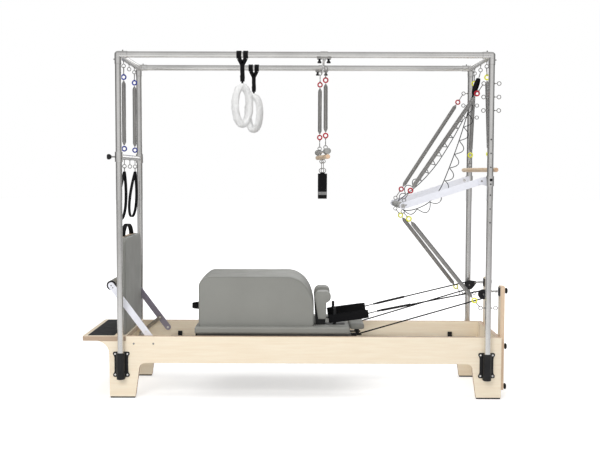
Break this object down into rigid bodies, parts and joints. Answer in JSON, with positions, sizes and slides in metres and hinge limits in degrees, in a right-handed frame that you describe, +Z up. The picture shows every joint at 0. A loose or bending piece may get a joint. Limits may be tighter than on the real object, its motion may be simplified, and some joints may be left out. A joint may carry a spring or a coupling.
{
  "type": "pilates tower unit",
  "caption": "Pilates tower unit: a steel tube frame over a wooden reformer bed with a sliding carriage, sprung bars, straps, ropes, a trapeze, a foot bar, a jump board and a sitting box.",
  "frame": {"origin": "on the floor under the middle of the overall length and width", "axes": "+X along the bed towards the pulley end, -Y towards the front, +Z up"},
  "size_m": [2.6694, 0.7624, 2.16],
  "materials": {
    "birch_ply": "satin",
    "dowel_wood": "satin",
    "steel": "polished",
    "aluminium": "satin",
    "spring_steel": "satin",
    "black_plastic": "matte",
    "rubber": "matte",
    "upholstery": "matte",
    "webbing": "woven",
    "fleece": "soft pile"
  },
  "bodies": {
    "frame": {"front_side_panel": "birch_ply", "back_side_panel": "birch_ply", "head_end_board": "birch_ply", "standing_platform": "birch_ply", "spring_bar": "steel", "post_front_left": "steel", "post_front_right": "steel", "post_back_left": "steel", "post_back_right": "steel", "bracket_front_left": "black_plastic", "bracket_front_right": "black_plastic", "bracket_back_left": "black_plastic", "bracket_back_right": "black_plastic", "top_tube_front": "steel", "top_tube_back": "steel", "end_frame_left": "steel", "end_frame_right": "steel", "push_spring_front": "spring_steel", "push_spring_back": "spring_steel", "lower_spring_front": "spring_steel", "lower_spring_back": "spring_steel", "curly_cord_front": "webbing", "curly_cord_back": "webbing"},
    "carriage": {"carriage_frame": "aluminium", "carriage_pad": "upholstery", "carriage_springs": "spring_steel", "rope_front": "webbing", "rope_back": "webbing"},
    "wheels_left": {"wheel_axle_left": "rubber"},
    "wheels_right": {"wheel_axle_right": "rubber"},
    "headrest": {"headrest": "upholstery"},
    "shoulder_rest_front": {"shoulder_rest_front": "upholstery"},
    "shoulder_rest_back": {"shoulder_rest_back": "upholstery"},
    "sitting_box": {"sitting_box": "upholstery"},
    "foot_bar": {"foot_bar_frame": "aluminium", "foot_bar_roll": "upholstery"},
    "foot_bar_strut": {"foot_bar_strut": "steel"},
    "jump_board": {"jump_board": "upholstery"},
    "riser_front": {"riser_front": "birch_ply"},
    "riser_back": {"riser_back": "birch_ply"},
    "pulley_block_front": {"pulley_block_front": "black_plastic"},
    "pulley_block_back": {"pulley_block_back": "black_plastic"},
    "pulley_wheel_front": {"pulley_wheel_front": "black_plastic"},
    "pulley_wheel_back": {"pulley_wheel_back": "black_plastic"},
    "push_through_bar": {"push_through_bar": "aluminium"},
    "roll_down": {"roll_down_bar": "dowel_wood", "roll_down_spring_front": "spring_steel", "roll_down_spring_back": "spring_steel"},
    "left_sliding_bar": {"left_sliding_bar": "aluminium", "strap_loop_front": "webbing", "strap_loop_back": "webbing"},
    "hanging_spring_front": {"hanging_spring_front": "spring_steel"},
    "hanging_spring_back": {"hanging_spring_back": "spring_steel"},
    "trapeze_slider": {"trapeze_slider": "steel"},
    "trapeze": {"trapeze_bar": "dowel_wood", "trapeze_spring_front": "spring_steel", "trapeze_spring_back": "spring_steel"},
    "sling": {"sling": "webbing"},
    "fleece_loop_front": {"fleece_loop_front": "fleece"},
    "fleece_loop_back": {"fleece_loop_back": "fleece"}
  },
  "joints": [
    {"name": "carriage_slide", "type": "slide", "parent": "frame", "child": "carriage", "axis": [1, 0, 0], "range_m": [-0.14, 0.6], "deforming": ["carriage_springs", "rope_front", "rope_back"]},
    {"name": "wheels_left_roll", "type": "hinge", "parent": "carriage", "child": "wheels_left", "pos_m": [-0.50865, 0, 0.3133], "axis": [0, 1, 0], "range_deg": [-290, 1232]},
    {"name": "wheels_right_roll", "type": "hinge", "parent": "carriage", "child": "wheels_right", "pos_m": [0.23135, 0, 0.3133], "axis": [0, 1, 0], "range_deg": [-290, 1232]},
    {"name": "headrest_tilt", "type": "hinge", "parent": "carriage", "child": "headrest", "pos_m": [0.34485, 0, 0.4415], "axis": [0, -1, 0], "range_deg": [0, 50]},
    {"name": "shoulder_rest_front_lift", "type": "slide", "parent": "carriage", "child": "shoulder_rest_front", "axis": [0, 0, 1], "range_m": [0, 0.06]},
    {"name": "shoulder_rest_back_lift", "type": "slide", "parent": "carriage", "child": "shoulder_rest_back", "axis": [0, 0, 1], "range_m": [0, 0.06]},
    {"name": "sitting_box_lift", "type": "slide", "parent": "carriage", "child": "sitting_box", "axis": [0, 0, 1], "range_m": [0, 0.12]},
    {"name": "foot_bar_tilt", "type": "hinge", "parent": "frame", "child": "foot_bar", "pos_m": [-0.88965, 0, 0.343], "axis": [0, -1, 0], "range_deg": [0, 30]},
    {"name": "foot_bar_strut_fold", "type": "hinge", "parent": "foot_bar", "child": "foot_bar_strut", "pos_m": [-0.94215, 0, 0.41362], "axis": [0, -1, 0], "range_deg": [-8, 1]},
    {"name": "jump_board_lift", "type": "slide", "parent": "frame", "child": "jump_board", "axis": [0, 0, 1], "range_m": [0, 0.03]},
    {"name": "riser_front_slide", "type": "slide", "parent": "frame", "child": "riser_front", "axis": [0, 0, 1], "range_m": [-0.015, 0.05]},
    {"name": "riser_back_slide", "type": "slide", "parent": "frame", "child": "riser_back", "axis": [0, 0, 1], "range_m": [-0.015, 0.05]},
    {"name": "pulley_front_swivel", "type": "hinge", "parent": "riser_front", "child": "pulley_block_front", "pos_m": [1.22235, -0.24, 0.66705], "axis": [0, 1, 0], "range_deg": [-10, 10]},
    {"name": "pulley_back_swivel", "type": "hinge", "parent": "riser_back", "child": "pulley_block_back", "pos_m": [1.22235, 0.24, 0.66705], "axis": [0, 1, 0], "range_deg": [-10, 10]},
    {"name": "pulley_front_spin", "type": "hinge", "parent": "pulley_block_front", "child": "pulley_wheel_front", "pos_m": [1.18235, -0.24, 0.65], "axis": [0, 1, 0], "continuous": true},
    {"name": "pulley_back_spin", "type": "hinge", "parent": "pulley_block_back", "child": "pulley_wheel_back", "pos_m": [1.18235, 0.24, 0.65], "axis": [0, 1, 0], "continuous": true},
    {"name": "push_through_swing", "type": "hinge", "parent": "frame", "child": "push_through_bar", "pos_m": [1.14935, 0, 1.364], "axis": [0, 1, 0], "range_deg": [-55, 60], "stiffness_Nm_per_rad": 60, "springref_deg": 8.59, "deforming": ["push_spring_front", "push_spring_back", "lower_spring_front", "lower_spring_back", "curly_cord_front", "curly_cord_back"]},
    {"name": "roll_down_swing", "type": "hinge", "parent": "frame", "child": "roll_down", "pos_m": [1.19235, 0, 2.081], "axis": [0, -1, 0], "range_deg": [-18, 18]},
    {"name": "left_bar_slide", "type": "slide", "parent": "frame", "child": "left_sliding_bar", "axis": [0, 0, 1], "range_m": [-0.34, 0.015], "deforming": ["strap_loop_front", "strap_loop_back"]},
    {"name": "hanging_spring_front_swing", "type": "hinge", "parent": "frame", "child": "hanging_spring_front", "pos_m": [-1.08965, -0.18, 2.081], "axis": [0, -1, 0], "range_deg": [-20, 20]},
    {"name": "hanging_spring_back_swing", "type": "hinge", "parent": "frame", "child": "hanging_spring_back", "pos_m": [-1.08965, 0.18, 2.081], "axis": [0, -1, 0], "range_deg": [-20, 20]},
    {"name": "trapeze_slide", "type": "slide", "parent": "frame", "child": "trapeze_slider", "axis": [1, 0, 0], "range_m": [-0.35, 0.38]},
    {"name": "trapeze_swing", "type": "hinge", "parent": "trapeze_slider", "child": "trapeze", "pos_m": [0.16935, 0, 2.072], "axis": [-0.0995, 0.995, 0], "range_deg": [-15, 15]},
    {"name": "sling_swing", "type": "hinge", "parent": "trapeze", "child": "sling", "pos_m": [0.16935, 0, 1.487], "axis": [-0.0995, 0.995, 0], "range_deg": [-15, 15]},
    {"name": "fleece_front_swing", "type": "hinge", "parent": "frame", "child": "fleece_loop_front", "pos_m": [-0.32965, -0.35, 2.131], "axis": [1, 0, 0], "range_deg": [-45, 45]},
    {"name": "fleece_back_swing", "type": "hinge", "parent": "frame", "child": "fleece_loop_back", "pos_m": [-0.29865, 0.35, 2.131], "axis": [1, 0, 0], "range_deg": [-45, 45]}
  ],
  "couplings": [
    {"joint": "wheels_left_roll", "follows": "carriage_slide", "rad_per_m": 35.714},
    {"joint": "wheels_right_roll", "follows": "carriage_slide", "rad_per_m": 35.714},
    {"joint": "foot_bar_strut_fold", "follows": "foot_bar_tilt", "ratio": -0.25}
  ]
}
